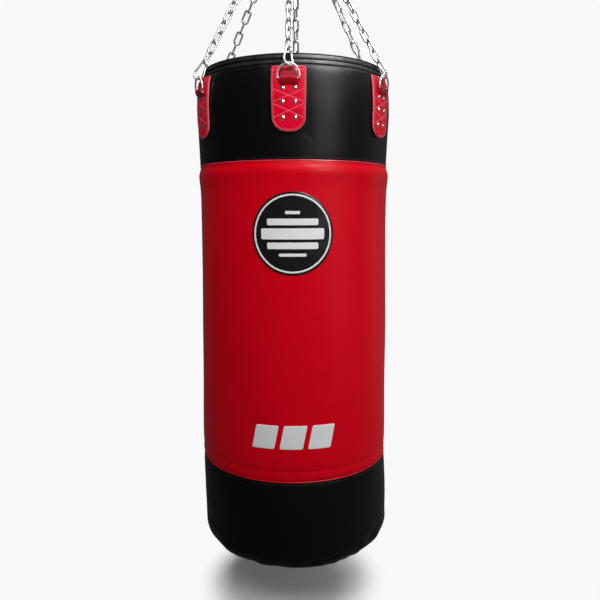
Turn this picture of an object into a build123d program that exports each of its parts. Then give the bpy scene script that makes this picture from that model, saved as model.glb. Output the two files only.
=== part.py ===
from build123d import *
import math
import os

# Heavy punching bag, hung by six chains from a swivel.  Millimetres, +Z up.
# Origin: centre of the swivel's upper eye.  The front of the bag faces -Y.

# ---- bag body -------------------------------------------------------------
bag_height = 1229.0
rim_below_ring = 392.0          # master ring's lowest wire centre to the bag's rim
skin = 2.2                      # vinyl thickness
gap = 0.3                       # clearance left between separate curved pieces
rim_radius = 230.5              # binding's outer face just under its rounded top
rim_round = 7.0
binding_height = 24.0
binding_flare = 5.0             # how much wider the binding is at its foot
binding_wall = 2.5
binding_width = 12.0            # across its flat top and rounding
binding_edge = 1.5              # thickness of its inner edge
lid_depth = 9.0                 # lid lies this far below the rim
lid_thickness = 3.0
lid_tuck = 2.3                  # how far the lid runs out under the binding
core_radius = 203.0
fill_depth = 20.0               # top of the foam and the filling
fill_floor = 6.0                # filling ends this far above the bag's bottom
foam_outer = [(fill_depth, 226.0), (45.0, 233.0), (231.0, 233.0), (233.0, 226.0), (989.0, 226.0),
              (991.0, 244.0), (1186.0, 244.0), (1220.0, 216.0)]
gel_thickness = 12.0
gel_top = 232.0                 # depths below the rim
gel_bottom = 990.0
corner_round = 48.0             # rounding of the bottom edge
welt_wire = 1.8
welt_depth = 12.5               # lower of the two rim welts
piping_wire = 0.8
piping_offset = 0.4

# (depth below rim, outer radius) of the three stacked sleeves
upper_outline = [(24.0, 235.6), (30.0, 238.4), (42.0, 241.4), (60.0, 243.8), (105.0, 245.8), (150.0, 243.5),
                 (195.0, 241.8), (231.0, 241.2)]
gel_outline = [(233.0, 241.4), (250.0, 243.2), (380.0, 242.2), (600.0, 244.4), (800.0, 246.9), (940.0, 249.0),
               (989.0, 247.2)]
lower_outline = [(991.0, 247.8), (1030.0, 249.6), (1090.0, 250.6), (1181.0, 250.0)]
bottom_radius = lower_outline[-1][1] - corner_round

# ---- hanging tabs, rivets and D-rings -------------------------------------
tab_count = 6
tab_turn = -1.8                 # degrees, all six hanging points about the bag's axis
tab_half_angle = 10.5           # degrees of wall that a tab is cut from
tab_width = 76.0
tab_top = 31.0
tab_bottom = 170.0
tab_thickness = 4.5
tab_corner = 30.0
ring_wire = 2.25
ring_width = 48.0               # between the centres of the D-ring's legs
ring_height = 31.0              # bar centre to bow centre
ring_corner = 3.5
ring_lean = 6.0                 # degrees the bow stands off the bag
bar_depth = 59.0
keeper_wall = 1.9
keeper_width = 40.0
keeper_tail = 13.5
keeper_play = 0.2
rivet_columns = 27.0
rivet_depths = [78.5, 108.0, 141.5]
rivet_head = 4.8
rivet_dome = 2.6
rivet_shank = 2.0
rivet_lift = 0.45               # head clear of the curved leather
rivet_tail = 1.4                # shank beyond its washer
hole_play = 0.1
plate_width = 60.0
plate_top = 62.0
plate_bottom = 156.0
plate_corner = 12.0
plate_thickness = 2.0
washer_thickness = 1.2
washer_radius = 5.0

# ---- snap hooks -----------------------------------------------------------
hook_wire = 2.5
hook_length = 48.0              # between the wire centres of both ends
hook_wide = 12.5                # centre-line radius at the D-ring end
hook_narrow = 6.5               # centre-line radius at the chain end
hook_lean = 28.0                # degrees from upright, towards the bag's axis
hook_turn = 45.0                # degrees about its own long axis
gate_foot = 4.2                 # along the gate side, from the wide end's tangent point
gate_shoulder = 17.6
gate_pivot = 23.6
gate_wire = 2.1
gate_tongue = 2.4
gate_knuckle = 1.9
pin_radius = 1.0
fork_size = (5.0, 5.4, 6.4)
fork_slot = 2.8
contact_gap = 0.45

# ---- chains and overhead fittings ----------------------------------------
link_wire = 2.5
link_half_width = 7.5           # centre-line radius of a link's end
links_per_chain = 16
master_wire = 4.0
master_radius = 34.0
master_spots = [-6.5, 37.5, 21.0, 6.5, -21.0, -45.0]     # degrees round the ring, one per chain, front first
eye_outer = 21.0
eye_inner = 11.0
eye_thickness = 10.0
shank_radius = 6.0
shank_play = 0.08
shoulder_radius = 9.0
shoulder_height = 9.0
boss_top = 29.0
boss_bottom = 43.0
boss_radius = 14.0
bow_wire = 5.0
bow_half_width = 22.0
bow_shoulder = 9.0
bow_drop = 112.0                # eye centre to the bow's lowest wire centre
race_thickness = 1.6
race_outer = 12.5
ball_radius = 2.0
ball_track = 9.4
ball_count = 10
nut_height = 9.0
nut_flats = 19.0
oval_wire = 5.0
oval_half_width = 17.0
oval_length = 66.0              # between the wire centres of both ends
sleeve_length = 12.0
sleeve_drop = 1.0               # sleeve centre below the link's middle when closed
oval_opening = 6.0
sleeve_outer = 7.6

# ---- badge and lower mark -------------------------------------------------
patch_half_angle = 26.0         # degrees of wall that the badge and the mark are cut from
badge_radius = 95.0
badge_depth = 396.0
badge_thickness = 1.6
badge_line_outer = 89.8
badge_line_inner = 85.8
badge_line_height = 0.7
mark_depth = 877.0
mark_width = 196.0
mark_height = 60.0
mark_thickness = 0.8
mark_slant = 6.0                # half the sideways lean of a bar
mark_space = 12.0

# ---- zip in the lid -------------------------------------------------------
zip_length = 320.0
zip_tape_width = 32.0
zip_tape_thickness = 1.0
zip_pitch = 5.0
zip_tooth = (3.0, 7.0, 1.4)
slider_inset = 12.0             # slider's centre from the end of the teeth
slider_rise = 1.9               # teeth clear of the slider's plate
bridge_rise = 3.2
puller_pin = 0.75

# ---- cutting tools at the front of the bag --------------------------------
cutter_radius = 241.5           # where they are centred, near the skin
cutter_depth = 30.0             # how far a drill reaches either way

# ---- worked-out heights ---------------------------------------------------
oval_top = -bow_drop + bow_wire + oval_wire + contact_gap
oval_bottom = oval_top - oval_length
master_centre = oval_bottom + oval_wire + master_wire + contact_gap - master_radius
rim_z = master_centre - master_radius - rim_below_ring


def save(shape, name):
    export_step(shape, "parts/" + name + ".step")


def below(depth):
    return rim_z - depth


def radius_at(outline, depth):
    for (d0, r0), (d1, r1) in zip(outline, outline[1:]):
        if d0 <= depth <= d1:
            return r0 + (r1 - r0) * (depth - d0) / (d1 - d0)
    return outline[0][1]


def outline_curve(outline, shift):
    return Polyline(*[(radius + shift, 0, below(depth)) for depth, radius in outline])


def upright_arc(centre, radius, start, end):
    """Arc in the XZ plane, angles in degrees from +X towards +Z."""
    spots = []
    for angle in (start, (start + end) / 2, end):
        turn = math.radians(angle)
        spots.append((centre[0] + radius * math.cos(turn), 0, centre[1] + radius * math.sin(turn)))
    return ThreePointArc(*spots)


def turned(points, angle=360.0):
    """Solid of revolution of a closed outline of (radius, z) corners."""
    wire = Polyline(*[(radius, 0, z) for radius, z in points], close=True)
    return revolve(make_face(wire), axis=Axis.Z, revolution_arc=angle)


def sleeve(outline, outer_shift, inner_shift, angle=360.0):
    """Wall that follows a curved outline, between two offsets from it."""
    outer = outline_curve(outline, outer_shift)
    inner = outline_curve(outline, inner_shift)
    top = Line(outer @ 0, inner @ 0)
    bottom = Line(outer @ 1, inner @ 1)
    return revolve(make_face(outer + inner + top + bottom), axis=Axis.Z, revolution_arc=angle)


def front_patch(outline, outer_shift, inner_shift, half_angle):
    """Piece of a sleeve that straddles the front of the bag."""
    wall = sleeve(outline, outer_shift, inner_shift, 2 * half_angle)
    return Rot(0, 0, -90 - half_angle) * wall


def tab_location(index):
    return Rot(0, 0, tab_turn + index * 360.0 / tab_count)


def around(shape, index):
    """Copy of a front piece at one of the six hanging points."""
    return tab_location(index) * shape


def torus_at(ring_radius, wire, z):
    return Pos(0, 0, z) * Torus(ring_radius, wire)


# ---- soft body ------------------------------------------------------------
def rim_binding():
    """Folded tape over the rim: rounded top, flared outer wall, short inner edge."""
    outer = rim_radius
    foot_radius = outer + binding_flare
    inner = outer - binding_width
    inner_face = inner + binding_edge
    top = below(0)
    foot = below(binding_height - 0.5)
    inner_foot = below(lid_depth - gap)
    arc_centre = (outer - rim_round, top - rim_round)
    wall = binding_wall
    profile = Polyline((foot_radius - wall, 0, foot), (foot_radius, 0, foot), (outer, 0, top - rim_round))
    profile += upright_arc(arc_centre, rim_round, 0, 90)
    profile += Polyline((outer - rim_round, 0, top), (inner, 0, top), (inner, 0, inner_foot),
                        (inner_face, 0, inner_foot), (inner_face, 0, top - wall))
    profile += Line((inner_face, 0, top - wall), (outer - rim_round, 0, top - wall))
    profile += upright_arc(arc_centre, rim_round - wall, 90, 0)
    profile += Line((outer - wall, 0, top - rim_round), (foot_radius - wall, 0, foot))
    return revolve(make_face(profile), axis=Axis.Z) - rim_welts(welt_wire + hole_play)


def rim_welts(wire):
    """Two cords sewn round the binding, half sunk in it."""
    inset = rim_round * (1 - math.sqrt(0.5))
    slope = binding_flare / (binding_height - 0.5 - rim_round)
    lower_radius = rim_radius + slope * (welt_depth - rim_round)
    return [torus_at(rim_radius - inset, wire, below(inset)), torus_at(lower_radius, wire, below(welt_depth))]


def top_lid():
    """Flat disc whose edge is sewn under the binding's inner edge."""
    edge = rim_radius - binding_width + binding_edge + lid_tuck
    seat = below(lid_depth)
    under = seat - lid_thickness
    return turned([(0, seat), (edge, seat), (edge, under), (0, under)])


def lower_shell():
    outer = outline_curve(lower_outline, 0)
    inner = outline_curve(lower_outline, -skin)
    centre = (bottom_radius, below(bag_height - corner_round))
    profile = outer + inner + Line(outer @ 0, inner @ 0)
    profile += upright_arc(centre, corner_round, 0, -90)
    profile += upright_arc(centre, corner_round - skin, 0, -90)
    profile += Line((bottom_radius, 0, below(bag_height)), (bottom_radius, 0, below(bag_height - skin)))
    return revolve(make_face(profile), axis=Axis.Z)


def bottom_panel():
    edge = bottom_radius - 2 * gap
    foot = below(bag_height)
    return turned([(0, foot), (edge, foot), (edge, foot + skin), (0, foot + skin)])


def bottom_welt():
    return torus_at(bottom_radius, welt_wire, below(bag_height - skin - welt_wire - hole_play))


def foam_liner():
    inner = core_radius + gap
    outside = [(radius, below(depth)) for depth, radius in foam_outer]
    return turned([(inner, below(foam_outer[0][0]))] + outside + [(inner, below(foam_outer[-1][0]))])


def gel_layer():
    return sleeve(gel_outline, -skin - gap, -skin - gap - gel_thickness)


def textile_filling():
    top = below(fill_depth)
    foot = below(bag_height - fill_floor)
    return turned([(0, top), (core_radius, top), (core_radius, foot), (0, foot)])


def panel_piping():
    """Thin piping in the seams above and below the gel wrap."""
    upper_edge = upper_outline[-1][1] + piping_offset
    lower_edge = lower_outline[0][1] + piping_offset
    seams = ((upper_edge, gel_top), (lower_edge, gel_bottom))
    return [torus_at(edge, piping_wire, below(depth)) for edge, depth in seams]


# ---- tabs, keepers, rivets ------------------------------------------------
def front_outline(width, top_depth, bottom_depth, corner):
    """Upright plate outline, long enough in Y to cut any front piece."""
    height = bottom_depth - top_depth
    middle = below((top_depth + bottom_depth) / 2)
    block = Box(width, 4 * cutter_depth, height)
    lower_edges = block.edges().filter_by(Axis.Y).sort_by(Axis.Z)[:2]
    block = fillet(lower_edges, corner)
    return Pos(0, -cutter_radius, middle) * block


def rivet_places():
    for depth in rivet_depths:
        for side in (-1, 1):
            yield side * rivet_columns / 2, depth


def rivet_holes():
    drill = Rot(90, 0, 0) * Cylinder(rivet_shank + hole_play, 2 * cutter_depth)
    return [Pos(x, -cutter_radius, below(depth)) * drill for x, depth in rivet_places()]


def hanging_tab():
    wall = front_patch(upper_outline, gap + tab_thickness, gap, tab_half_angle)
    outline = front_outline(tab_width, tab_top, tab_bottom, tab_corner)
    return (wall & outline) - rivet_holes()


def backing_plate():
    wall = front_patch(upper_outline, -skin - gap, -skin - gap - plate_thickness, tab_half_angle)
    outline = front_outline(plate_width, plate_top, plate_bottom, plate_corner)
    return (wall & outline) - rivet_holes()


def surface_at(x, depth, shift):
    radius = radius_at(upper_outline, depth) + shift
    return -math.sqrt(radius * radius - x * x)


def rivet(x, depth):
    """Domed rivet, pointing straight out at the front."""
    face = surface_at(x, depth, gap + tab_thickness) - rivet_lift
    tail = surface_at(x, depth, -skin - gap - plate_thickness) + washer_thickness + rivet_tail
    overlap = 0.5
    sphere_radius = (rivet_head ** 2 + rivet_dome ** 2) / (2 * rivet_dome)
    cap = Pos(0, 0, sphere_radius - rivet_dome / 2) * Cylinder(rivet_head, rivet_dome)
    dome = Sphere(sphere_radius) & cap
    dome = Pos(0, 0, rivet_dome - sphere_radius) * dome
    dome = Pos(x, face, below(depth)) * Rot(90, 0, 0) * dome
    length = tail - face + overlap
    middle = (face + tail - overlap) / 2
    shank = Pos(x, middle, below(depth)) * Rot(90, 0, 0) * Cylinder(rivet_shank, length)
    return dome + shank


def rivet_washer(x, depth):
    middle = surface_at(x, depth, -skin - gap - plate_thickness) + washer_thickness / 2 + rivet_lift
    ring = Cylinder(washer_radius, washer_thickness) - Cylinder(rivet_shank + hole_play, 2 * washer_thickness)
    return Pos(x, middle, below(depth)) * Rot(90, 0, 0) * ring


def bar_centre():
    face = radius_at(upper_outline, bar_depth) + gap + tab_thickness
    return face + keeper_wall + ring_wire + 0.5


def d_ring():
    """D-ring with its bar along X, its bow leaning away from the bag."""
    half = ring_width / 2
    leg = ring_height - half
    corner = ring_corner
    path = Line((0, 0, 0), (half - corner, 0, 0))
    path += upright_arc((half - corner, corner), corner, -90, 0)
    path += Line((half, 0, corner), (half, 0, leg))
    path += ThreePointArc((half, 0, leg), (0, 0, ring_height), (-half, 0, leg))
    path += Line((-half, 0, leg), (-half, 0, corner))
    path += upright_arc((corner - half, corner), corner, 180, 270)
    path += Line((-half + corner, 0, 0), (0, 0, 0))
    wire = Wire(path.edges())
    section = Plane(origin=(0, 0, 0), z_dir=(1, 0, 0)) * Circle(ring_wire)
    ring = sweep(section, path=wire)
    return Pos(0, -bar_centre(), below(bar_depth)) * Rot(ring_lean, 0, 0) * ring


def strap_keeper():
    """Strip folded round the D-ring's bar, its tails lying on the tab."""
    inner = ring_wire + keeper_play
    outer = inner + keeper_wall
    cutter = Rot(0, 90, 0) * Cylinder(inner, 2 * keeper_width)
    loop = Rot(0, 90, 0) * Cylinder(outer, keeper_width)
    face = radius_at(upper_outline, bar_depth + keeper_tail) + gap + tab_thickness
    reach = bar_centre() - face
    tail_start = 3.0
    tail_height = keeper_tail - tail_start
    tail_middle = -tail_start - tail_height / 2
    tail = Pos(0, reach / 2 + 1.0, tail_middle) * Box(keeper_width, reach + 1.0, tail_height)
    keeper = Pos(0, -bar_centre(), below(bar_depth)) * (loop + tail - cutter)
    tab_solid = front_patch(upper_outline, gap + tab_thickness + keeper_play, -cutter_depth, tab_half_angle)
    return keeper - tab_solid


# ---- snap hook ------------------------------------------------------------
hook_run = hook_length - hook_wide - hook_narrow
hook_slope = math.asin((hook_wide - hook_narrow) / hook_run)
hook_straight = math.sqrt(hook_run ** 2 - (hook_wide - hook_narrow) ** 2)


def gate_side(distance):
    """Point on the gate side's centre line, as (x, z)."""
    x = hook_wide * math.cos(hook_slope) - distance * math.sin(hook_slope)
    z = hook_wide + hook_wide * math.sin(hook_slope) + distance * math.cos(hook_slope)
    return x, z


def on_gate_side(shape, distance):
    x, z = gate_side(distance)
    return Pos(x, 0, z) * Rot(0, -math.degrees(hook_slope), 0) * shape


def snap_hook():
    """Pear-shaped hook in the XZ plane, wide end's wire centre at the origin."""
    nose = gate_side(gate_foot - contact_gap)
    low = gate_side(0)
    high = gate_side(hook_straight)
    stop = gate_side(gate_pivot + hook_wire)
    path = Line((nose[0], 0, nose[1]), (low[0], 0, low[1]))
    path += ThreePointArc((low[0], 0, low[1]), (0, 0, 0), (-low[0], 0, low[1]))
    path += Line((-low[0], 0, low[1]), (-high[0], 0, high[1]))
    path += ThreePointArc((-high[0], 0, high[1]), (0, 0, hook_length), (high[0], 0, high[1]))
    path += Line((high[0], 0, high[1]), (stop[0], 0, stop[1]))
    wire = Wire(path.edges())
    start = Vector(low[0] - nose[0], 0, low[1] - nose[1])
    section = Plane(origin=(nose[0], 0, nose[1]), z_dir=start) * Circle(hook_wire)
    body = sweep(section, path=wire)
    width, depth, height = fork_size
    fork = Box(width, depth, height) - Pos(0, 0, -0.7) * Box(2 * width, fork_slot, height)
    pin = Rot(90, 0, 0) * Cylinder(pin_radius, depth)
    return body + on_gate_side(fork + pin, gate_pivot)


def hook_gate():
    """Round rod with a flat tongue and a knuckle that turns on the hook's pin."""
    rod_length = gate_shoulder - gate_foot
    tongue_length = gate_pivot - gate_shoulder
    overlap = 0.5
    rod = Pos(0, 0, rod_length / 2) * Cylinder(gate_wire, rod_length)
    tongue_box = Box(2 * gate_knuckle, gate_tongue, tongue_length + 2 * overlap)
    tongue = Pos(0, 0, rod_length + tongue_length / 2 - overlap) * tongue_box
    pivot = Pos(0, 0, rod_length + tongue_length) * Rot(90, 0, 0)
    knuckle = pivot * Cylinder(gate_knuckle, gate_tongue)
    hole = pivot * Cylinder(pin_radius + 0.06, 2 * gate_tongue)
    return on_gate_side(rod + tongue + knuckle - hole, gate_foot)


def hook_location():
    """Where the front hook's own frame lies."""
    lean = math.radians(ring_lean)
    bow_y = -bar_centre() - ring_height * math.sin(lean)
    bow_z = below(bar_depth) + ring_height * math.cos(lean)
    seat = hook_wire + ring_wire + contact_gap
    tilt = math.radians(hook_lean)
    foot = (0, bow_y - seat * math.sin(tilt), bow_z - seat * math.cos(tilt))
    return Pos(*foot) * Rot(-hook_lean, 0, 0) * Rot(0, 0, hook_turn)


# ---- chains ---------------------------------------------------------------
def stadium(half_width, length, wire):
    """Closed link in the XZ plane, top wire centre at the origin, hanging down."""
    straight = length - 2 * half_width
    bend = Rot(90, 0, 0) * Torus(half_width, wire)
    upper = bend & (Pos(0, 0, half_width) * Box(4 * half_width, 4 * wire, 2 * half_width))
    lower = bend & (Pos(0, 0, -half_width) * Box(4 * half_width, 4 * wire, 2 * half_width))
    link = Pos(0, 0, -half_width) * upper
    link += Pos(0, 0, -half_width - straight) * lower
    for side in (-1, 1):
        link += Pos(side * half_width, 0, -half_width - straight / 2) * Cylinder(wire, straight)
    return link


def chain(index):
    """One chain's links, from the master ring down to a snap hook."""
    spot = math.radians(master_spots[index])
    on_ring = Vector(master_radius * math.sin(spot), 0, master_centre - master_radius * math.cos(spot))
    ring_tangent = Vector(math.cos(spot), 0, math.sin(spot))
    place = tab_location(index) * hook_location()
    hook_eye = place.position
    hook_axis = (place * Pos(0, 0, 1)).position - place.position
    hook_side = (place * Pos(1, 0, 0)).position - place.position
    last_seat = hook_eye + hook_axis * (hook_length - hook_wire - link_wire - contact_gap)
    line = (last_seat - on_ring).normalized()
    first_seat = on_ring - line * (master_wire + link_wire + contact_gap)
    span = (last_seat - first_seat).length
    step = (span - 2 * link_wire - contact_gap) / links_per_chain
    link_length = step + 2 * link_wire + contact_gap
    first_normal = (ring_tangent - line * ring_tangent.dot(line)).normalized()
    last_normal = (hook_side - line * hook_side.dot(line)).normalized()
    across = line.cross(first_normal)
    turn = math.degrees(math.atan2(last_normal.dot(across), last_normal.dot(first_normal)))
    quarter_turns = 90.0 * (links_per_chain - 1)
    slack = (turn - quarter_turns + 90.0) % 180.0 - 90.0
    twist = (quarter_turns + slack) / (links_per_chain - 1)
    link = stadium(link_half_width, link_length, link_wire)
    links = []
    for number in range(links_per_chain):
        angle = math.radians(number * twist)
        normal = first_normal * math.cos(angle) + across * math.sin(angle)
        frame = Plane(origin=first_seat + line * (step * number), x_dir=normal.cross(-line), z_dir=-line)
        links.append(frame.location * link)
    return links


# ---- overhead fittings ----------------------------------------------------
def swivel_eye():
    """Forged eye with a shank and a shoulder, on the fixed side."""
    eye = Rot(90, 0, 0) * (Cylinder(eye_outer, eye_thickness) - Cylinder(eye_inner, 2 * eye_thickness))
    root = 2.0
    thread_end = 4.0
    shank_top = -eye_outer + root
    shank_foot = -boss_bottom - 2 * race_thickness - 2 * ball_radius - nut_height - thread_end
    shank = Pos(0, 0, (shank_top + shank_foot) / 2) * Cylinder(shank_radius, shank_top - shank_foot)
    shoulder = Pos(0, 0, shank_top - shoulder_height / 2) * Cylinder(shoulder_radius, shoulder_height)
    return eye + shank + (shoulder - Rot(90, 0, 0) * Cylinder(eye_inner, 2 * eye_thickness))


def swivel_bow():
    """Bow that turns on the shank; its round boss carries the load to the bearing."""
    bore = shank_radius + shank_play
    boss_middle = -(boss_top + boss_bottom) / 2
    boss = Pos(0, 0, boss_middle) * Cylinder(boss_radius, boss_bottom - boss_top)
    half = bow_half_width
    shoulder = bow_shoulder
    low = -bow_drop + half
    path = Line((0, 0, boss_middle), (half - shoulder, 0, boss_middle))
    path += upright_arc((half - shoulder, boss_middle - shoulder), shoulder, 90, 0)
    path += Line((half, 0, boss_middle - shoulder), (half, 0, low))
    path += ThreePointArc((half, 0, low), (0, 0, -bow_drop), (-half, 0, low))
    path += Line((-half, 0, low), (-half, 0, boss_middle - shoulder))
    path += upright_arc((shoulder - half, boss_middle - shoulder), shoulder, 180, 90)
    path += Line((-half + shoulder, 0, boss_middle), (0, 0, boss_middle))
    section = Plane(origin=(0, 0, boss_middle), z_dir=(1, 0, 0)) * Circle(bow_wire)
    bow = sweep(section, path=Wire(path.edges()))
    return boss + bow - Pos(0, 0, boss_middle) * Cylinder(bore, boss_bottom)


def thrust_bearing():
    bore = shank_radius + shank_play
    race = Cylinder(race_outer, race_thickness) - Cylinder(bore, 2 * race_thickness)
    top = -boss_bottom - race_thickness / 2
    ball_level = -boss_bottom - race_thickness - ball_radius
    bottom = ball_level - ball_radius - race_thickness / 2
    pieces = [Pos(0, 0, top - 0.02) * race, Pos(0, 0, bottom - 0.08) * race]
    for ball in range(ball_count):
        angle = 2 * math.pi * ball / ball_count
        spot = (ball_track * math.cos(angle), ball_track * math.sin(angle), ball_level - 0.05)
        pieces.append(Pos(*spot) * Sphere(ball_radius))
    return pieces


def swivel_nut():
    top = -boss_bottom - 2 * race_thickness - 2 * ball_radius - 0.12
    hexagon = extrude(RegularPolygon(nut_flats / 2, 6, major_radius=False), -nut_height)
    hexagon = chamfer(hexagon.edges().filter_by(Plane.XY), 0.8)
    return Pos(0, 0, top) * (hexagon - Cylinder(shank_radius + shank_play, 4 * nut_height))


def oval_link():
    """Screw-sleeve oval link in the YZ plane, with a gap in one side."""
    link = Rot(0, 0, 90) * stadium(oval_half_width, oval_length, oval_wire)
    middle = -oval_length / 2
    opening = Pos(0, -oval_half_width, middle) * Cylinder(oval_wire + 1, oval_opening)
    return Pos(0, 0, oval_top) * (link - opening)


def oval_sleeve():
    """Threaded sleeve that closes the gap, with hexagon flats."""
    body = extrude(RegularPolygon(sleeve_outer, 6, major_radius=False), sleeve_length)
    body = chamfer(body.edges().filter_by(Plane.XY), 0.7)
    body = Pos(0, 0, -sleeve_length / 2) * body - Cylinder(oval_wire + shank_play, 2 * sleeve_length)
    return Pos(0, -oval_half_width, oval_top - oval_length / 2 - sleeve_drop) * body


# ---- badge, lower mark, zip -----------------------------------------------
def badge_piece(radius, inner_radius, lift, thickness):
    wall = front_patch(gel_outline, gap + lift + thickness, gap + lift, patch_half_angle)
    disc = Cylinder(radius, 4 * cutter_depth)
    if inner_radius > 0:
        disc -= Cylinder(inner_radius, 5 * cutter_depth)
    return wall & (Pos(0, -cutter_radius, below(badge_depth)) * Rot(90, 0, 0) * disc)


def lower_mark():
    """Three plain slanted bars."""
    wall = front_patch(gel_outline, gap + mark_thickness, gap, patch_half_angle)
    bar_half = (mark_width / 3 - mark_space) / 2 + 1.0
    bars = []
    for number in (-1, 0, 1):
        x = number * (2 * bar_half + mark_space)
        left = x - bar_half
        right = x + bar_half
        corners = [(left - mark_slant, -mark_height / 2), (right - mark_slant, -mark_height / 2),
                   (right + mark_slant, mark_height / 2), (left + mark_slant, mark_height / 2)]
        face = make_face(Polyline(*corners, close=True))
        block = extrude(Plane.XZ * face, 4 * cutter_depth)
        bars.append(wall & (Pos(0, 2 * cutter_depth - cutter_radius, below(mark_depth)) * block))
    return bars


def zip_tape():
    level = below(lid_depth) + zip_tape_thickness / 2 + 0.1
    return Pos(0, 0, level) * Box(zip_length + 20, zip_tape_width, zip_tape_thickness)


def zip_teeth():
    """Row of separate teeth along the closed zip."""
    count = int(zip_length / zip_pitch)
    level = below(lid_depth) + zip_tape_thickness + 0.9
    tooth = Box(*zip_tooth)
    return [Pos(-zip_length / 2 + zip_pitch * (number + 0.5), 0, level) * tooth for number in range(count)]


def slider_location():
    level = below(lid_depth) + zip_tape_thickness + slider_rise
    return Pos(-zip_length / 2 + slider_inset, 0, level)


def zip_slider():
    plate = Pos(0, 0, 1.0) * Box(16, 12, 1.6)
    bridge = Box(9, 3, 3.2) - Box(4.6, 6, 1.7)
    return slider_location() * (plate + Pos(0, 0, bridge_rise) * bridge)


def zip_puller():
    """Puller frame with a pin through the slider's bridge."""
    bar = Rot(90, 0, 0) * Cylinder(puller_pin, 6)
    arm = Box(13.6, 1.6, 2 * puller_pin)
    tab = Pos(23, 0, 0) * Box(22, 8.4, 2 * puller_pin)
    puller = bar + Pos(6, -3.4, 0) * arm + Pos(6, 3.4, 0) * arm + tab
    return slider_location() * Pos(0, 0, bridge_rise) * puller


os.makedirs("parts", exist_ok=True)

save(rim_binding(), "rim_binding")
save(Compound(children=rim_welts(welt_wire)), "rim_welts")
save(top_lid(), "top_lid")
save(sleeve(gel_outline, 0, -skin), "gel_cover")
save(Compound(children=panel_piping()), "panel_piping")
save(gel_layer(), "gel_layer")
save(lower_shell(), "lower_shell")
save(bottom_welt(), "bottom_welt")
save(bottom_panel(), "bottom_panel")
save(foam_liner(), "foam_liner")
save(textile_filling(), "textile_filling")
save(zip_tape(), "zip_tape")
save(Compound(children=zip_teeth()), "zip_teeth")
save(zip_slider(), "zip_slider")
save(zip_puller(), "zip_puller")
save(badge_piece(badge_radius, 0, 0, badge_thickness), "badge_disc")
badge_line_lift = badge_thickness + 0.05
save(badge_piece(badge_line_outer, badge_line_inner, badge_line_lift, badge_line_height), "badge_ring")
save(Compound(children=lower_mark()), "lower_mark")

one_tab = hanging_tab()
one_keeper = strap_keeper()
one_plate = backing_plate()
one_ring = d_ring()
one_hook = hook_location() * snap_hook()
one_gate = hook_location() * hook_gate()
front_rivets = [rivet(x, depth) for x, depth in rivet_places()]
front_washers = [rivet_washer(x, depth) for x, depth in rivet_places()]
keepers = []
plates = []
rivets = []
washers = []
shell_holes = []
for index in range(tab_count):
    number = str(index + 1)
    shell_holes += [around(hole, index) for hole in rivet_holes()]
    save(around(one_tab, index), "hanging_tab_" + number)
    save(around(one_ring, index), "d_ring_" + number)
    save(around(one_hook, index), "snap_hook_" + number)
    save(around(one_gate, index), "hook_gate_" + number)
    save(Compound(children=chain(index)), "chain_" + number)
    keepers.append(around(one_keeper, index))
    plates.append(around(one_plate, index))
    rivets += [around(piece, index) for piece in front_rivets]
    washers += [around(piece, index) for piece in front_washers]
save(sleeve(upper_outline, 0, -skin) - shell_holes, "upper_shell")
save(Compound(children=keepers), "strap_keepers")
save(Compound(children=plates), "backing_plates")
save(Compound(children=rivets), "rivets")
save(Compound(children=washers), "rivet_washers")

save(Pos(0, 0, master_centre) * Rot(90, 0, 0) * Torus(master_radius, master_wire), "master_ring")
save(oval_link(), "oval_link")
save(oval_sleeve(), "oval_sleeve")
save(swivel_bow(), "swivel_bow")
save(swivel_eye(), "swivel_eye")
save(swivel_nut(), "swivel_nut")
save(Compound(children=thrust_bearing()), "thrust_bearing")

print("rim z", rim_z, "master centre", master_centre, "bow low", -bow_drop, "oval bottom", oval_bottom)
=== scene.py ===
import functools
import math

import bpy
import numpy as np
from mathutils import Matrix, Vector


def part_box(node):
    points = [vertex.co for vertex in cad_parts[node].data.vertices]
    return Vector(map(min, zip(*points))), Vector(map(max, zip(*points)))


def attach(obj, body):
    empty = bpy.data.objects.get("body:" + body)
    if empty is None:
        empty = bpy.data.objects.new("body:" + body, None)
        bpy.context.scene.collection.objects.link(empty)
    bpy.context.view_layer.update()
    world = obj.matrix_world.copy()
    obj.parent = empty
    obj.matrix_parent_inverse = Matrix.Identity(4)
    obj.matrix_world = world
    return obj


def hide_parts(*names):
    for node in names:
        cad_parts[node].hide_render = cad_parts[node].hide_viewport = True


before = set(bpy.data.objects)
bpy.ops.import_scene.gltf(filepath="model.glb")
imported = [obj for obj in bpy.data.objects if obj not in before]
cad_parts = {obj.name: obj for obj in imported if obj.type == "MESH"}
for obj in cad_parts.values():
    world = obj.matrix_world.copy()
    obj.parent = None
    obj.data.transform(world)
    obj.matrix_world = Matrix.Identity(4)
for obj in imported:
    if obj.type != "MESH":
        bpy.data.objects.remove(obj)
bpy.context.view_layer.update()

# ---------------------------------------------------------------------------
# Sizes, in metres.  The bag hangs on the Z axis; its front faces -Y.
# Depths are measured down from the rim, angles round the bag from the front.
# ---------------------------------------------------------------------------
MM = 0.001
TAU = 2 * math.pi
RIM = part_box("rim_binding")[1].z
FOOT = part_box("bottom_panel")[0].z
BAG_HEIGHT = RIM - FOOT
BAG_RADIUS = 0.241
TABS = 6

TAB_TURN = math.radians(-1.8)
TAB_TOP = 31 * MM
TAB_BOTTOM = 170 * MM
TAB_HEIGHT = TAB_BOTTOM - TAB_TOP
TAB_WIDTH = 76 * MM
TAB_TAPER = 0.07
TAB_THICK = 4.3 * MM
TAB_GAP = 0.3 * MM
TAB_CORNER = 30 * MM
RIVET_DEPTHS = (78.5 * MM, 108 * MM, 141.5 * MM)
RIVET_SIDE = 13.5 * MM
STRAP_DEPTH = 59 * MM

SKIN_COLUMNS = 540
SKIN_WALL = 2.0 * MM
STITCH_SPACING = 6 * MM
STITCH_LENGTH = 4.2 * MM
STITCH_WIRE = 0.5 * MM

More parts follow.
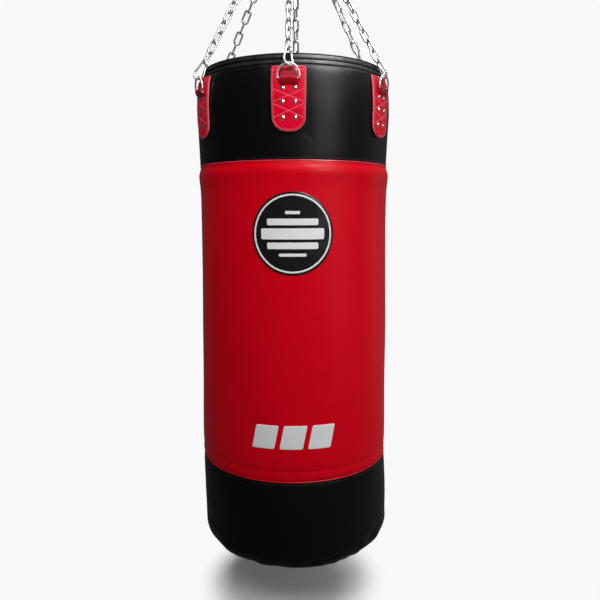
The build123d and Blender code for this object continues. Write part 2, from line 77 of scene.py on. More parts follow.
# outlines of the skins: (depth, radius) in millimetres
UPPER_SKIN = [(24.2, 232.6), (25.2, 235.2), (28, 237.6), (33, 239.5), (42, 241.6), (60, 243.9), (82, 245.3),
              (105, 245.8), (150, 243.8), (195, 242.0), (222, 241.2), (229, 240.6), (231.6, 239.2)]
RED_SKIN = [(232.4, 239.6), (235, 240.8), (240, 242.0), (246, 244.0), (252, 245.5), (260, 245.8), (272, 244.8),
            (288, 243.4), (320, 242.4), (380, 242.2), (470, 242.9), (600, 244.4), (800, 246.8), (920, 248.6),
            (946, 248.7), (957, 248.2), (962, 247.4), (967, 247.8), (976, 248.3), (984, 247.6), (989.4, 245.8)]
LOWER_SKIN = [(990.6, 245.6), (994, 247.2), (1004, 248.4), (1030, 249.6), (1090, 250.6), (1140, 250.4),
              (1181, 250.0)]
CORNER = 48 * MM
PANEL_RADIUS = 202 * MM
LID_RADIUS = 218.2 * MM
PANEL_THICK = 2.2 * MM
BADGE_DEPTH = 396 * MM
BADGE_RADIUS = 95 * MM
MARK_DEPTH = 877 * MM

# dents and folds at the bottom corner:
# (degrees from the front, depth in mm, half-width in degrees, half-height in mm, push in mm)
CREASES = ((54, 1186, 4.5, 13, -5.5), (9, 1200, 2.2, 7, -3.6), (14, 1205, 2.2, 6, 3.4), (20, 1193, 2.6, 5, -2.4),
           (-66, 1150, 9, 5, -2.2), (-60, 1163, 9, 4, 2.0), (-38, 1180, 7, 9, -2.0), (-58, 1192, 6, 12, -2.2),
           (30, 1196, 6, 8, 1.8), (120, 1190, 6, 14, -3.0), (168, 1200, 5, 12, -2.6), (215, 1188, 6, 14, -3))

# plain emblem: (height of the bar's centre, width, height) in millimetres
BADGE_BARS = ((-48, 34, 7), (-27, 118, 15), (0, 146, 25), (27, 118, 15), (48, 64, 7))


def level(depth):
    return RIM - depth


# ---------------------------------------------------------------------------
# Camera, lights and stage
# ---------------------------------------------------------------------------
FLOOR_GAP = 0.16
PAPER = 0.94


def make_camera():
    data = bpy.data.cameras.new("camera")
    data.sensor_width = 36
    data.lens = 36
    camera = bpy.data.objects.new("camera", data)
    bpy.context.scene.collection.objects.link(camera)
    pitch = math.radians(8.16)
    camera.location = (0.068 * BAG_RADIUS, -6.68 * BAG_RADIUS, RIM - 1.457 * BAG_RADIUS)
    camera.rotation_euler = (math.pi / 2 - pitch, 0, 0)
    camera.rotation_euler.rotate_axis("Z", math.radians(-0.12))
    bpy.context.scene.camera = camera


def area_light(name, place, target, width, height, power):
    data = bpy.data.lights.new(name, "AREA")
    data.shape = "RECTANGLE"
    data.size = width
    data.size_y = height
    data.energy = power
    lamp = bpy.data.objects.new(name, data)
    bpy.context.scene.collection.objects.link(lamp)
    lamp.location = place
    lamp.rotation_euler = (Vector(target) - Vector(place)).to_track_quat("-Z", "Y").to_euler()
    return lamp


def make_lights():
    """Broad lights shape the bag; narrow ones are seen only as reflections."""
    middle = (0, 0, level(0.5))
    upper = (0, 0, level(0.1))
    broad = [
        area_light("key_softbox", (1.8, -1.3, level(0.1)), middle, 0.6, 1.9, 9),
        area_light("front_softbox", (-0.15, -1.75, level(-0.95)), (0, 0, level(0.2)), 1.3, 0.9, 28.5),
    ]
    for lamp in broad:
        lamp.visible_glossy = False
    narrow = [
        area_light("glint_strip", (1.30, -1.78, level(-0.38)), upper, 0.36, 0.5, 17),
        area_light("overhead_strip", (0.95, -1.1, level(-1.4)), upper, 0.8, 0.5, 90),
    ]
    for lamp in narrow:
        lamp.visible_diffuse = False
    area_light("side_softbox", (2.2, 0.9, level(0.3)), middle, 0.7, 2.0, 1.4)
    sun_data = bpy.data.lights.new("overhead", "SUN")
    sun_data.energy = 2.6
    sun_data.angle = math.radians(48)
    sun = bpy.data.objects.new("overhead", sun_data)
    bpy.context.scene.collection.objects.link(sun)
    sun.rotation_euler = (math.radians(-8), math.radians(15), 0)


def make_world():
    """White where the camera looks past the object; a dim room, lighter on the right, for everything else."""
    world = bpy.data.worlds.new("studio")
    bpy.context.scene.world = world
    world.use_nodes = True
    nodes = world.node_tree.nodes
    links = world.node_tree.links
    nodes.clear()
    output = nodes.new("ShaderNodeOutputWorld")
    seen = nodes.new("ShaderNodeBackground")
    seen.inputs["Color"].default_value = (PAPER, PAPER, PAPER, 1)
    room = nodes.new("ShaderNodeBackground")
    direction = nodes.new("ShaderNodeTexCoord")
    split = nodes.new("ShaderNodeSeparateXYZ")
    ramp = nodes.new("ShaderNodeMapRange")
    ramp.inputs["From Min"].default_value = -0.9
    ramp.inputs["From Max"].default_value = 0.9
    ramp.inputs["To Min"].default_value = 0.085
    ramp.inputs["To Max"].default_value = 0.18
    path = nodes.new("ShaderNodeLightPath")
    mix = nodes.new("ShaderNodeMixShader")
    links.new(direction.outputs["Generated"], split.inputs[0])
    links.new(split.outputs["X"], ramp.inputs["Value"])
    links.new(ramp.outputs["Result"], room.inputs["Strength"])
    links.new(path.outputs["Is Camera Ray"], mix.inputs["Fac"])
    links.new(room.outputs[0], mix.inputs[1])
    links.new(seen.outputs[0], mix.inputs[2])
    links.new(mix.outputs[0], output.inputs["Surface"])


def make_floor():
    """Pale floor that fades out into the white surround."""
    size = 6.0
    mesh = bpy.data.meshes.new("floor")
    height = FOOT - FLOOR_GAP
    mesh.from_pydata([(-size, -size, height), (size, -size, height), (size, size, height), (-size, size, height)],
                     [], [(0, 1, 2, 3)])
    floor = bpy.data.objects.new("floor", mesh)
    bpy.context.scene.collection.objects.link(floor)
    mat = bpy.data.materials.new("floor_paper")
    mat.use_nodes = True
    nodes = mat.node_tree.nodes
    links = mat.node_tree.links
    nodes.clear()
    output = nodes.new("ShaderNodeOutputMaterial")
    paper = nodes.new("ShaderNodeBsdfDiffuse")
    paper.inputs["Color"].default_value = (0.80, 0.80, 0.80, 1)
    dim = nodes.new("ShaderNodeBsdfDiffuse")
    dim.inputs["Color"].default_value = (0.12, 0.12, 0.12, 1)
    path = nodes.new("ShaderNodeLightPath")
    ground = nodes.new("ShaderNodeMixShader")
    links.new(path.outputs["Is Camera Ray"], ground.inputs["Fac"])
    links.new(dim.outputs[0], ground.inputs[1])
    links.new(paper.outputs[0], ground.inputs[2])
    clear = nodes.new("ShaderNodeBsdfTransparent")
    place = nodes.new("ShaderNodeTexCoord")
    length = nodes.new("ShaderNodeVectorMath")
    length.operation = "LENGTH"
    flat = nodes.new("ShaderNodeVectorMath")
    flat.operation = "MULTIPLY"
    flat.inputs[1].default_value = (1, 1, 0)
    fade = nodes.new("ShaderNodeMapRange")
    fade.interpolation_type = "SMOOTHSTEP"
    fade.inputs["From Min"].default_value = 0.17
    fade.inputs["From Max"].default_value = 0.285
    fade.inputs["To Min"].default_value = 0.07
    mix = nodes.new("ShaderNodeMixShader")
    links.new(place.outputs["Object"], flat.inputs[0])
    links.new(flat.outputs["Vector"], length.inputs[0])
    links.new(length.outputs["Value"], fade.inputs["Value"])
    links.new(fade.outputs["Result"], mix.inputs["Fac"])
    links.new(ground.outputs[0], mix.inputs[1])
    links.new(clear.outputs[0], mix.inputs[2])
    links.new(mix.outputs[0], output.inputs["Surface"])
    mesh.materials.append(mat)


# ---------------------------------------------------------------------------
# Materials
# ---------------------------------------------------------------------------
def new_material(name):
    mat = bpy.data.materials.new(name)
    mat.use_nodes = True
    nodes = mat.node_tree.nodes
    bsdf = nodes["Principled BSDF"]
    place = nodes.new("ShaderNodeTexCoord")
    return mat, nodes, mat.node_tree.links, bsdf, place.outputs["Object"]


def noise_node(nodes, links, place, scale, detail=3.0, rough=0.5):
    node = nodes.new("ShaderNodeTexNoise")
    node.inputs["Scale"].default_value = scale
    node.inputs["Detail"].default_value = detail
    node.inputs["Roughness"].default_value = rough
    links.new(place, node.inputs["Vector"])
    return node.outputs["Fac"]


def range_node(nodes, links, value, low, high, to_low, to_high):
    node = nodes.new("ShaderNodeMapRange")
    node.inputs["From Min"].default_value = low
    node.inputs["From Max"].default_value = high
    node.inputs["To Min"].default_value = to_low
    node.inputs["To Max"].default_value = to_high
    links.new(value, node.inputs["Value"])
    return node.outputs["Result"]


def vary_colour(nodes, links, bsdf, value, dark, light):
    mix = nodes.new("ShaderNodeMix")
    mix.data_type = "RGBA"
    mix.inputs["A"].default_value = (*dark, 1)
    mix.inputs["B"].default_value = (*light, 1)
    links.new(value, mix.inputs["Factor"])
    links.new(mix.outputs["Result"], bsdf.inputs["Base Color"])


def bump_node(nodes, links, height, distance, strength, under=None):
    node = nodes.new("ShaderNodeBump")
    node.inputs["Distance"].default_value = distance
    node.inputs["Strength"].default_value = strength
    links.new(height, node.inputs["Height"])
    if under is not None:
        links.new(under, node.inputs["Normal"])
    return node.outputs["Normal"]


def leather(name, dark, light, rough, grain, grain_depth, coat=0.0, specular=0.5):
    """Coated leather or vinyl: pebbled grain, soft unevenness, a sheen that varies."""
    mat, nodes, links, bsdf, place = new_material(name)
    cells = nodes.new("ShaderNodeTexVoronoi")
    cells.feature = "DISTANCE_TO_EDGE"
    cells.inputs["Scale"].default_value = grain
    cells.inputs["Randomness"].default_value = 1.0
    links.new(place, cells.inputs["Vector"])
    pebble = range_node(nodes, links, cells.outputs["Distance"], 0.0, 0.28, 0.0, 1.0)
    broad = noise_node(nodes, links, place, 7, 4, 0.55)
    fine = noise_node(nodes, links, place, grain * 0.35, 3)
    vary_colour(nodes, links, bsdf, broad, dark, light)
    links.new(range_node(nodes, links, broad, 0.3, 0.7, rough[0], rough[1]), bsdf.inputs["Roughness"])
    under = bump_node(nodes, links, fine, grain_depth * 2.5, 0.35)
    links.new(bump_node(nodes, links, pebble, grain_depth, 0.5, under), bsdf.inputs["Normal"])
    bsdf.inputs["Specular IOR Level"].default_value = specular
    bsdf.inputs["Coat Weight"].default_value = coat
    bsdf.inputs["Coat Roughness"].default_value = 0.3
    return mat


def metal(name, dark, light, rough, scratch=0.00003, scale=220.0, metallic=1.0):
    """Plated steel: cloudy plating, small dents, roughness that varies."""
    mat, nodes, links, bsdf, place = new_material(name)
    bsdf.inputs["Metallic"].default_value = metallic
    cloud = noise_node(nodes, links, place, scale, 4, 0.6)
    fine = noise_node(nodes, links, place, scale * 6, 2)
    vary_colour(nodes, links, bsdf, cloud, dark, light)
    links.new(range_node(nodes, links, fine, 0.3, 0.7, rough[0], rough[1]), bsdf.inputs["Roughness"])
    links.new(bump_node(nodes, links, cloud, scratch, 0.6), bsdf.inputs["Normal"])
    return mat


def woven(name, dark, light, pitch):
    """Coated webbing: a fine over-and-under weave."""
    mat, nodes, links, bsdf, place = new_material(name)
    wave = nodes.new("ShaderNodeTexWave")
    wave.wave_type = "BANDS"
    wave.bands_direction = "Z"
    wave.inputs["Scale"].default_value = 1 / pitch / 3.14
    wave.inputs["Distortion"].default_value = 0.6
    links.new(place, wave.inputs["Vector"])
    broad = noise_node(nodes, links, place, 40, 3)
    vary_colour(nodes, links, bsdf, broad, dark, light)
    links.new(range_node(nodes, links, broad, 0.3, 0.7, 0.38, 0.55), bsdf.inputs["Roughness"])
    under = bump_node(nodes, links, noise_node(nodes, links, place, 900, 2), 0.0001, 0.4)
    links.new(bump_node(nodes, links, wave.outputs["Fac"], 0.00015, 0.5, under), bsdf.inputs["Normal"])
    return mat


def plain_print(name, dark, light, rough):
    """Printed or moulded plastic: slight mottling and a soft orange-peel."""
    mat, nodes, links, bsdf, place = new_material(name)
    broad = noise_node(nodes, links, place, 30, 3)
    vary_colour(nodes, links, bsdf, broad, dark, light)
    links.new(range_node(nodes, links, broad, 0.3, 0.7, rough[0], rough[1]), bsdf.inputs["Roughness"])
    links.new(bump_node(nodes, links, noise_node(nodes, links, place, 500, 2), 0.00004, 0.4), bsdf.inputs["Normal"])
    return mat


def thread(name, dark, light):
    """Twisted sewing thread."""
    mat, nodes, links, bsdf, place = new_material(name)
    twist = noise_node(nodes, links, place, 1500, 2)
    vary_colour(nodes, links, bsdf, twist, dark, light)
    links.new(range_node(nodes, links, twist, 0.3, 0.7, 0.5, 0.75), bsdf.inputs["Roughness"])
    links.new(bump_node(nodes, links, twist, 0.0002, 0.5), bsdf.inputs["Normal"])
    return mat


def make_materials():
    return {
        "black_vinyl": leather("black_vinyl", (0.0014, 0.0014, 0.0016), (0.0028, 0.0028, 0.0031), (0.36, 0.46),
                               820, 0.00008, specular=0.17),
        "red_vinyl": leather("red_vinyl", (0.70, 0.0002, 0.0095), (0.78, 0.0003, 0.0125), (0.30, 0.36),
                             900, 0.00005, specular=0.10),
        "red_edge": leather("red_edge", (0.72, 0.03, 0.06), (0.85, 0.07, 0.11), (0.28, 0.36), 900, 0.00004),
        "red_hem": leather("red_hem", (0.60, 0.004, 0.012), (0.72, 0.008, 0.02), (0.30, 0.4), 900, 0.00004,
                           specular=0.2),
        # pale pink bead colour: painted highlight of the tabs' rounded edges catching the light
        "painted_edge_highlight": leather("painted_edge_highlight", (0.80, 0.16, 0.24), (0.92, 0.28, 0.36), (0.25, 0.35), 900, 0.00003),
        "binding": woven("black_binding", (0.006, 0.006, 0.0065), (0.012, 0.012, 0.013), 0.0012),
        "tab_leather": leather("tab_leather", (0.72, 0.001, 0.018), (0.88, 0.004, 0.04), (0.22, 0.34),
                               1100, 0.00006, specular=0.12),
        # darker red of the straps at the D-rings: partly the leather's own colour, partly painted shade inside the
        # rings
        "tab_dark_and_shade": leather("tab_leather_dark", (0.34, 0.0005, 0.010), (0.46, 0.002, 0.020), (0.16, 0.26),
                            1100, 0.00005, coat=0.12, specular=0.3),
        "thread_red": thread("thread_red", (0.85, 0.16, 0.22), (0.95, 0.30, 0.36)),
        "thread_black": thread("thread_black", (0.008, 0.008, 0.009), (0.02, 0.02, 0.02)),
        "chrome": metal("chrome_wire", (0.80, 0.81, 0.82), (0.90, 0.91, 0.92), (0.14, 0.24), metallic=0.72),
        "zinc": metal("zinc_chain", (0.60, 0.62, 0.65), (0.80, 0.81, 0.82), (0.18, 0.34), 0.00006, 320, 0.82),
        "forged": metal("forged_zinc", (0.5, 0.51, 0.54), (0.7, 0.71, 0.73), (0.28, 0.45), 0.00015, 120),
        "rivet": metal("rivet_nickel", (0.66, 0.63, 0.58), (0.82, 0.8, 0.76), (0.14, 0.26)),
        "badge_black": plain_print("badge_black", (0.004, 0.004, 0.0045), (0.007, 0.007, 0.008), (0.22, 0.32)),
        "badge_white": plain_print("badge_white", (0.90, 0.90, 0.91), (0.97, 0.97, 0.97), (0.32, 0.45)),
        "mark_white": plain_print("mark_white", (0.86, 0.87, 0.88), (0.95, 0.95, 0.95), (0.35, 0.5)),
        "zip_tape": woven("zip_tape", (0.008, 0.008, 0.008), (0.016, 0.016, 0.016), 0.0008),
        "zip_metal": metal("zip_metal", (0.42, 0.40, 0.36), (0.6, 0.58, 0.52), (0.3, 0.45)),
        "inner": plain_print("inner_foam", (0.5, 0.5, 0.45), (0.6, 0.6, 0.55), (0.8, 0.95)),
    }


# ---------------------------------------------------------------------------
# Mesh helpers
# ---------------------------------------------------------------------------
GRID_ROWS = 128


def add_object(name, verts, faces, material):
    mesh = bpy.data.meshes.new(name)
    mesh.from_pydata([tuple(v) for v in verts], [], faces)
    mesh.validate()
    mesh.polygons.foreach_set("use_smooth", [True] * len(mesh.polygons))
    mesh.update()
    obj = bpy.data.objects.new(name, mesh)
    bpy.context.scene.collection.objects.link(obj)
    mesh.materials.append(material)
    return obj


def smooth_curve(points, count):
    """Even samples of a smooth curve through (depth, radius) points given in millimetres."""
    pts = np.array(points, float) * MM
    ext = np.vstack([2 * pts[0] - pts[1], pts, 2 * pts[-1] - pts[-2]])
    fine = []
    steps = 24
    for i in range(1, len(ext) - 2):
        p0, p1, p2, p3 = ext[i - 1:i + 3]
        k0 = 0.0
        k1 = k0 + np.linalg.norm(p1 - p0) ** 0.5
        k2 = k1 + np.linalg.norm(p2 - p1) ** 0.5
        k3 = k2 + np.linalg.norm(p3 - p2) ** 0.5
        for t in np.linspace(k1, k2, steps, endpoint=False):
            a1 = (k1 - t) / (k1 - k0) * p0 + (t - k0) / (k1 - k0) * p1
            a2 = (k2 - t) / (k2 - k1) * p1 + (t - k1) / (k2 - k1) * p2
            a3 = (k3 - t) / (k3 - k2) * p2 + (t - k2) / (k3 - k2) * p3
            b1 = (k2 - t) / (k2 - k0) * a1 + (t - k0) / (k2 - k0) * a2
            b2 = (k3 - t) / (k3 - k1) * a2 + (t - k1) / (k3 - k1) * a3
            fine.append((k2 - t) / (k2 - k1) * b1 + (t - k1) / (k2 - k1) * b2)
    fine.append(pts[-1])
    return even_samples(np.array(fine), count)


def even_samples(line, count):
    gaps = np.linalg.norm(np.diff(line, axis=0), axis=1)
    along = np.concatenate([[0], np.cumsum(gaps)])
    where = np.linspace(0, along[-1], count)
    return np.column_stack([np.interp(where, along, line[:, k]) for k in range(line.shape[1])])


@functools.lru_cache(maxsize=None)
def random_grid(around, seed):
    return np.random.default_rng(seed).uniform(-1, 1, (GRID_ROWS, around))


def field(angle, height, around, tall, seed):
    """Smooth random field from -1 to 1: `around` cells round the bag, each `tall` metres high."""
    grid = random_grid(around, seed)
    u = (angle / TAU % 1.0) * around
    v = height / tall + 50.0
    iu = np.floor(u).astype(int)
    iv = np.floor(v).astype(int)
    fu = u - iu
    fv = v - iv
    fu = fu * fu * (3 - 2 * fu)
    fv = fv * fv * (3 - 2 * fv)
    a = grid[iv % GRID_ROWS, iu % around]
    b = grid[iv % GRID_ROWS, (iu + 1) % around]
    c = grid[(iv + 1) % GRID_ROWS, iu % around]
    d = grid[(iv + 1) % GRID_ROWS, (iu + 1) % around]
    return (a * (1 - fu) + b * fu) * (1 - fv) + (c * (1 - fu) + d * fu) * fv


def falloff(value, width):
    return np.exp(-(value / width) ** 2)


def uneven(angle, depth, amount, around, tall, seed):
    """Slack in a skin, in metres, from an amount in millimetres."""
    return amount * MM * field(angle, depth, around, tall, seed)


def pucker(angle, depth, amount, around, tall, seed, seam, reach):
    """Gathers beside a seam at the given depth, dying out over the reach; both in millimetres."""
    return uneven(angle, depth, amount, around, tall, seed) * falloff(depth - seam * MM, reach * MM)


def band(first, second, count, closed=True, flip=False):
    """Quads between two rows of verts, given the index that each row starts at."""
    quads = []
    for k in range(count if closed else count - 1):
        n = (k + 1) % count
        if flip:
            quads.append((first + k, second + k, second + n, first + n))
        else:
            quads.append((first + k, first + n, second + n, second + k))
    return quads


def slab_faces(rows, columns):
    """Faces of a closed slab: a grid of verts on top, then the same grid underneath."""
    under = rows * columns
    last = under - columns
    faces = band(0, under, columns, closed=False)
    faces += band(last, under + last, columns, closed=False, flip=True)
    for a in range(0, last, columns):
        faces += band(a, a + columns, columns, closed=False, flip=True)
        faces += band(under + a, under + a + columns, columns, closed=False)
        b = a + columns - 1
        faces.append((a, under + a, under + a + columns, a + columns))
        faces.append((b, b + columns, under + b + columns, under + b))
    return faces


def lathe(name, line, wall, bump, material):
    """Closed shell turned round the Z axis from (depth, radius) samples, displaced along its normals."""
    step = np.gradient(line, axis=0)
    step /= np.linalg.norm(step, axis=1)[:, None]
    out_r = step[:, 0]
    out_d = -step[:, 1]
    columns = SKIN_COLUMNS
    angles = np.linspace(0, TAU, columns, endpoint=False)
    angle, row = np.meshgrid(angles, np.arange(len(line)))
    depth = line[:, 0][row]
    radius = line[:, 1][row]
    push = bump(angle, depth, radius)
    verts = []
    for shift in (0.0, -wall):
        r = radius + out_r[row] * (push + shift)
        d = depth + out_d[row] * (push + shift)
        verts.append(np.stack([r * np.sin(angle), -r * np.cos(angle), RIM - d], axis=-1).reshape(-1, 3))
    inner = len(line) * columns
    last = inner - columns
    faces = band(0, inner, columns) + band(last, inner + last, columns, flip=True)
    for a in range(0, last, columns):
        faces += band(a, a + columns, columns, flip=True)
        faces += band(inner + a, inner + a + columns, columns)
    return add_object(name, np.vstack(verts), faces, material)


def surface_radius(outline, depth):
    pts = np.array(outline, float) * MM
    return np.interp(depth, pts[:, 0], pts[:, 1])


def tube_ring(name, depth, radius, wire, columns, swell, around, seed, material, sides=12):
    """Closed piping round the bag, swelling at random by some millimetres."""
    angles = TAU * np.arange(columns) / columns
    wires = wire + uneven(angles, angles * 0, swell, around, 1.0, seed)
    verts = []
    faces = []
    for i, angle in enumerate(angles):
        for k in range(sides):
            turn = TAU * k / sides
            r = radius + wires[i] * math.cos(turn)
            verts.append((r * math.sin(angle), -r * math.cos(angle), level(depth) + wires[i] * math.sin(turn)))
        faces += band(i * sides, (i + 1) % columns * sides, sides, flip=True)
    return add_object(name, verts, faces, material)


def capsule(start, end, wire, up, sides=8):
    """Verts and faces of one stitch: a short rounded thread that dips at both ends."""
    start = np.array(start, float)
    end = np.array(end, float)
    up = np.array(up, float)
    along = end - start
    length = np.linalg.norm(along)
    along /= length
    across = np.cross(up, along)
    across /= np.linalg.norm(across)
    up = np.cross(along, across)
    stations = [(-0.5, 0.25, -0.8), (-0.46, 0.7, -0.45), (-0.3, 1.0, 0.0), (0.0, 1.08, 0.15), (0.3, 1.0, 0.0),
                (0.46, 0.7, -0.45), (0.5, 0.25, -0.8)]
    verts = []
    for t, size, lift in stations:
        centre = (start + end) / 2 + along * t * length + up * lift * wire
        for k in range(sides):
            turn = TAU * k / sides
            verts.append(centre + (across * math.cos(turn) + up * math.sin(turn)) * wire * size)
    last = (len(stations) - 1) * sides
    faces = [tuple(reversed(range(sides))), tuple(range(last, last + sides))]
    for a in range(0, last, sides):
        faces += band(a, a + sides, sides)
    return verts, faces


def join_parts(name, parts, material):
    verts = []
    faces = []
    for part_verts, part_faces in parts:
        base = len(verts)
        verts.extend(part_verts)
        faces.extend([tuple(base + i for i in face) for face in part_faces])
    return add_object(name, verts, faces, material)


def stitch_row(name, depth, radius, material):
    """Row of stitches round the bag."""
    count = int(TAU * BAG_RADIUS / STITCH_SPACING)
    r = radius + 0.25 * STITCH_WIRE
    parts = []
    for i in range(count):
        middle = TAU * i / count
        ends = []
        for side in (-0.5, 0.5):
            angle = middle + side * STITCH_LENGTH / BAG_RADIUS
            ends.append((r * math.sin(angle), -r * math.cos(angle), level(depth)))
        parts.append(capsule(ends[0], ends[1], STITCH_WIRE, (math.sin(middle), -math.cos(middle), 0)))
    return join_parts(name, parts, material)


# ---------------------------------------------------------------------------
# Skins of the bag
# ---------------------------------------------------------------------------
SEAM_HOLD = 4 * MM


def tab_angles():
    return [TAB_TURN + TAU * i / TABS for i in range(TABS)]


def upper_bump(angle, depth, radius):
    """Slack between the tabs, puckers at both seams, and hollows where the tabs are sewn down."""
    push = uneven(angle, depth, 1.0, 7, 0.13, 11)
    push += uneven(angle, depth, 0.45, 21, 0.05, 12)
    push += pucker(angle, depth, 0.9, 84, 0.4, 13, 26, 13)
    push += pucker(angle, depth, 0.8, 96, 0.4, 14, 232, 10)
    for centre in tab_angles():
        away = (angle - centre + math.pi) % TAU - math.pi
        across = np.abs(away) * radius - TAB_WIDTH / 2
        down = np.maximum(TAB_TOP - depth, depth - TAB_BOTTOM)
        outside = np.maximum(across, down)
        push -= 0.9 * MM * falloff(np.maximum(outside, 0), 14 * MM)
    edge = np.minimum(depth - UPPER_SKIN[0][0] * MM, UPPER_SKIN[-1][0] * MM - depth)
    return push * np.clip(edge / SEAM_HOLD, 0.15, 1)


def red_bump(angle, depth, radius):
    """Soft swells of the padded wrap, flat under the prints, gathered at both seams."""
    push = uneven(angle, depth, 1.7, 5, 0.30, 21)
    push += uneven(angle, depth, 0.7, 13, 0.13, 22)
    push += pucker(angle, depth, 0.7, 64, 0.5, 23, 236, 12)
    push += pucker(angle, depth, 0.8, 58, 0.5, 24, 980, 16)
    push += pucker(angle, depth, 0.5, 30, 0.06, 25, 955, 40)
    away = (angle + math.pi) % TAU - math.pi
    badge = np.hypot(away * radius, depth - BADGE_DEPTH) - BADGE_RADIUS
    mark = np.maximum(np.abs(away) * radius - 102 * MM, np.abs(depth - MARK_DEPTH) - 30 * MM)
    push *= np.clip(np.minimum(badge, mark) / (40 * MM), 0, 1)
    edge = np.minimum(depth - RED_SKIN[0][0] * MM, RED_SKIN[-1][0] * MM - depth)
    return push * np.clip(edge / SEAM_HOLD, 0.1, 1)


def lower_bump(angle, depth, radius):
    """Slack that grows into gathers and creases round the bottom corner, and a slight lean to the right."""
    push = uneven(angle, depth, 1.5, 8, 0.09, 31)
    push += uneven(angle, depth, 0.7, 22, 0.05, 32)
    push += pucker(angle, depth, 0.9, 70, 0.5, 33, 992, 14)
    gather = np.clip((depth - 1165 * MM) / (50 * MM), 0, 1)
    push += uneven(angle, depth, 2.0, 40, 0.2, 34) * gather
    push += uneven(angle, depth, 1.1, 84, 0.3, 35) * gather ** 2
    for centre, drop, wide, tall, amount in CREASES:
        away = (angle - math.radians(centre) + math.pi) % TAU - math.pi
        push += amount * MM * falloff(away, math.radians(wide)) * falloff(depth - drop * MM, tall * MM)
    push += 2.4 * MM * np.sin(angle) * np.clip((depth - 1010 * MM) / (120 * MM), 0, 1)
    near_panel = np.clip((radius - PANEL_RADIUS) / (6 * MM), 0.1, 1)
    near_seam = np.clip((depth - LOWER_SKIN[0][0] * MM) / SEAM_HOLD, 0.1, 1)
    return push * near_panel * near_seam


def lower_line():
    """Lower band's outline, run on round the bottom corner."""
    straight = smooth_curve(LOWER_SKIN, 80)
    turn = np.linspace(0, math.pi / 2, 45)[1:]
    centre_depth = BAG_HEIGHT - CORNER
    arc = np.column_stack([centre_depth + CORNER * np.sin(turn), PANEL_RADIUS + CORNER * np.cos(turn)])
    return even_samples(np.vstack([straight, arc]), 150)


def make_skins(mats):
    black = mats["black_vinyl"]
    upper = lathe("upper_band", smooth_curve(UPPER_SKIN, 110), SKIN_WALL, upper_bump, black)
    red = lathe("red_wrap", smooth_curve(RED_SKIN, 300), SKIN_WALL, red_bump, mats["red_vinyl"])
    lower = lathe("lower_band", lower_line(), SKIN_WALL, lower_bump, black)
    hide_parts("upper_shell")
    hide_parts("gel_cover")
    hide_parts("lower_shell")
    for piece, slot, fill in ((upper, "black_vinyl", 0.9), (red, "red_vinyl", 0.9), (lower, "black_vinyl", 0.8)):
        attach(piece, "bag")


def make_rim(mats):
    """Bound edge with two welts and a row of stitches."""
    profile = [(8.3, 218.7), (4.0, 218.6), (1.2, 219.2), (0.1, 221.0), (0.0, 223.6), (0.8, 226.8), (2.9, 229.0),
               (5.6, 230.5), (8.4, 231.4), (11.2, 231.6), (12.5, 231.4), (13.8, 231.9), (16.5, 233.5), (20, 234.6),
               (22.4, 235.0), (23.8, 234.2)]

    def creases(angle, depth, radius):
        return uneven(angle, depth, 0.35, 110, 0.05, 41) + uneven(angle, depth, 0.4, 24, 0.1, 42)

    binding = lathe("rim_tape", smooth_curve(profile, 64), 1.8 * MM, creases, mats["binding"])
    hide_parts("rim_binding")
    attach(binding, "bag")
    wire = 1.8 * MM
    black = mats["black_vinyl"]
    welts = tube_ring("rim_welt_outer", 12.5 * MM, 232.3 * MM, wire, SKIN_COLUMNS, 0.12, 150, 43, black)
    top_welt = tube_ring("rim_welt_top", 2.2 * MM, 228.3 * MM, wire, SKIN_COLUMNS, 0.12, 150, 43, black)
    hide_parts("rim_welts")
    for piece in (welts, top_welt):
        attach(piece, "bag")
    stitches = stitch_row("rim_stitches", 19.5 * MM, 234.5 * MM, mats["thread_black"])
    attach(stitches, "bag")


def make_seams(mats):
    """Piping at both ends of the red wrap, and the stitching beside it."""
    wire = 1.5 * MM
    columns = SKIN_COLUMNS
    top = tube_ring("wrap_piping_top", 232.0 * MM, 240.2 * MM, wire, columns, 0.15, 120, 51, mats["red_edge"])
    foot = tube_ring("wrap_piping_bottom", 990.0 * MM, 246.6 * MM, wire, columns, 0.15, 120, 52, mats["red_hem"])
    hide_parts("panel_piping")
    for piping in (top, foot):
        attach(piping, "bag")
    for name, depth, outline in (("upper_seam_stitches", 226.5 * MM, UPPER_SKIN),
                                 ("lower_seam_stitches", 997.0 * MM, LOWER_SKIN)):
        row = stitch_row(name, depth, surface_radius(outline, depth), mats["thread_black"])
        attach(row, "bag")


def disc_grid(name, rings, columns, height_of, material):
    """Closed plate from centre to rim; height_of gives the top and bottom level at (radius, angle)."""
    verts = []
    for side in (0, 1):
        verts.append((0, 0, height_of(0.0, 0.0)[side]))
        for r in rings:
            for i in range(columns):
                angle = TAU * i / columns
                verts.append((r * math.sin(angle), -r * math.cos(angle), height_of(r, angle)[side]))
    half = 1 + len(rings) * columns
    edge = half - columns
    faces = band(edge, half + edge, columns, flip=True)
    for side in (0, 1):
        base = side * half
        outward = [(base, base + 1 + i, base + 1 + (i + 1) % columns) for i in range(columns)]
        for first in range(base + 1, base + edge, columns):
            outward += band(first, first + columns, columns, flip=True)
        faces += outward if side == 0 else [face[::-1] for face in outward]
    return add_object(name, verts, faces, material)


